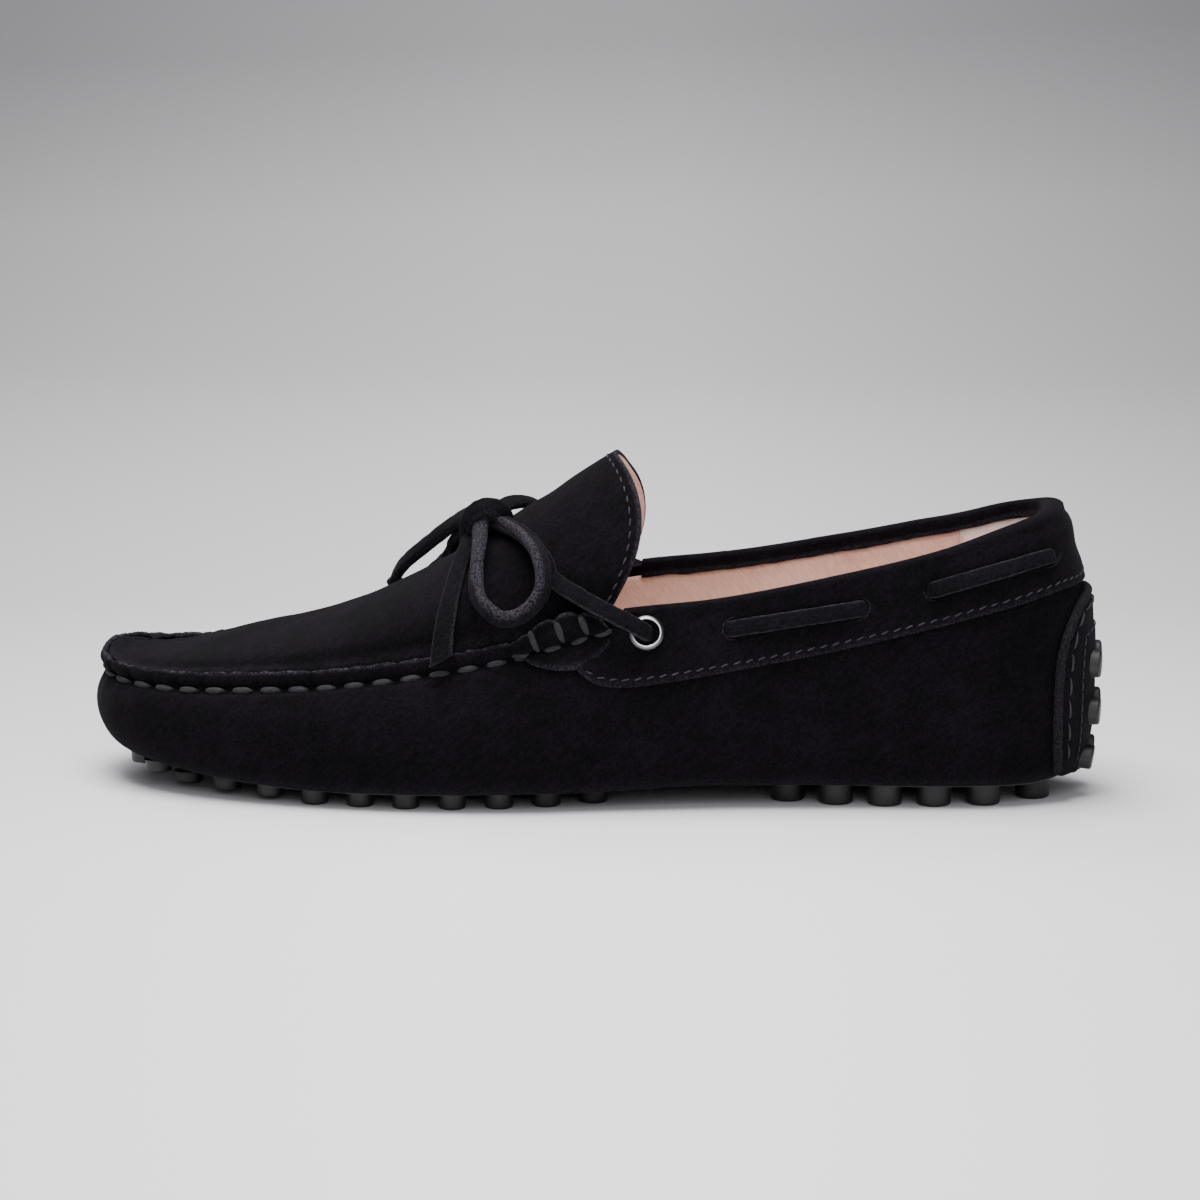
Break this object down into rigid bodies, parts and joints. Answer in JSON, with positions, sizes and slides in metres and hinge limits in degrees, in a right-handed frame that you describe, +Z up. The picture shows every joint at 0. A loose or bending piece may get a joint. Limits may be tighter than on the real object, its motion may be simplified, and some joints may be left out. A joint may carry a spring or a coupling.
{
  "type": "driving moccasin",
  "caption": "Left suede driving moccasin with a raised hand-sewn toe seam, tied lace through the folded collar, open tongue, studded rubber sole and studded heel patch",
  "frame": {"origin": "on the floor plane under the middle of the shoe's bounding box, measured without the lace's free lengths", "axes": "+X runs from toe to heel along the shoe's length, -Y is the outer side of the foot, +Z is up"},
  "size_m": [0.2879, 0.1, 0.0955],
  "materials": {
    "suede": "napped black suede",
    "lace_suede": "black suede lace, thick and flat with round edges",
    "rubber": "satin black moulded rubber",
    "lining_leather": "smooth nude-pink lining leather",
    "eyelet_metal": "polished silver-coloured ring"
  },
  "bodies": {
    "root": {"upper": "suede", "apron": "suede", "collar_band": "suede", "heel_patch": "suede", "seam_tab_outer": "suede", "seam_tab_inner": "suede", "sole_forefoot": "rubber", "sole_heel": "rubber", "heel_studs": "rubber", "insole": "lining_leather", "eyelet_outer": "eyelet_metal", "eyelet_inner": "eyelet_metal", "lace_bar_front_outer": "lace_suede", "lace_bar_rear_outer": "lace_suede", "lace_bar_front_inner": "lace_suede", "lace_bar_rear_inner": "lace_suede", "lace_strand_outer": "lace_suede", "lace_strand_inner": "lace_suede", "lace_loop_outer": "lace_suede", "lace_loop_inner": "lace_suede", "lace_end_outer": "lace_suede", "lace_end_inner": "lace_suede", "lace_knot": "lace_suede"}
  },
  "joints": []
}
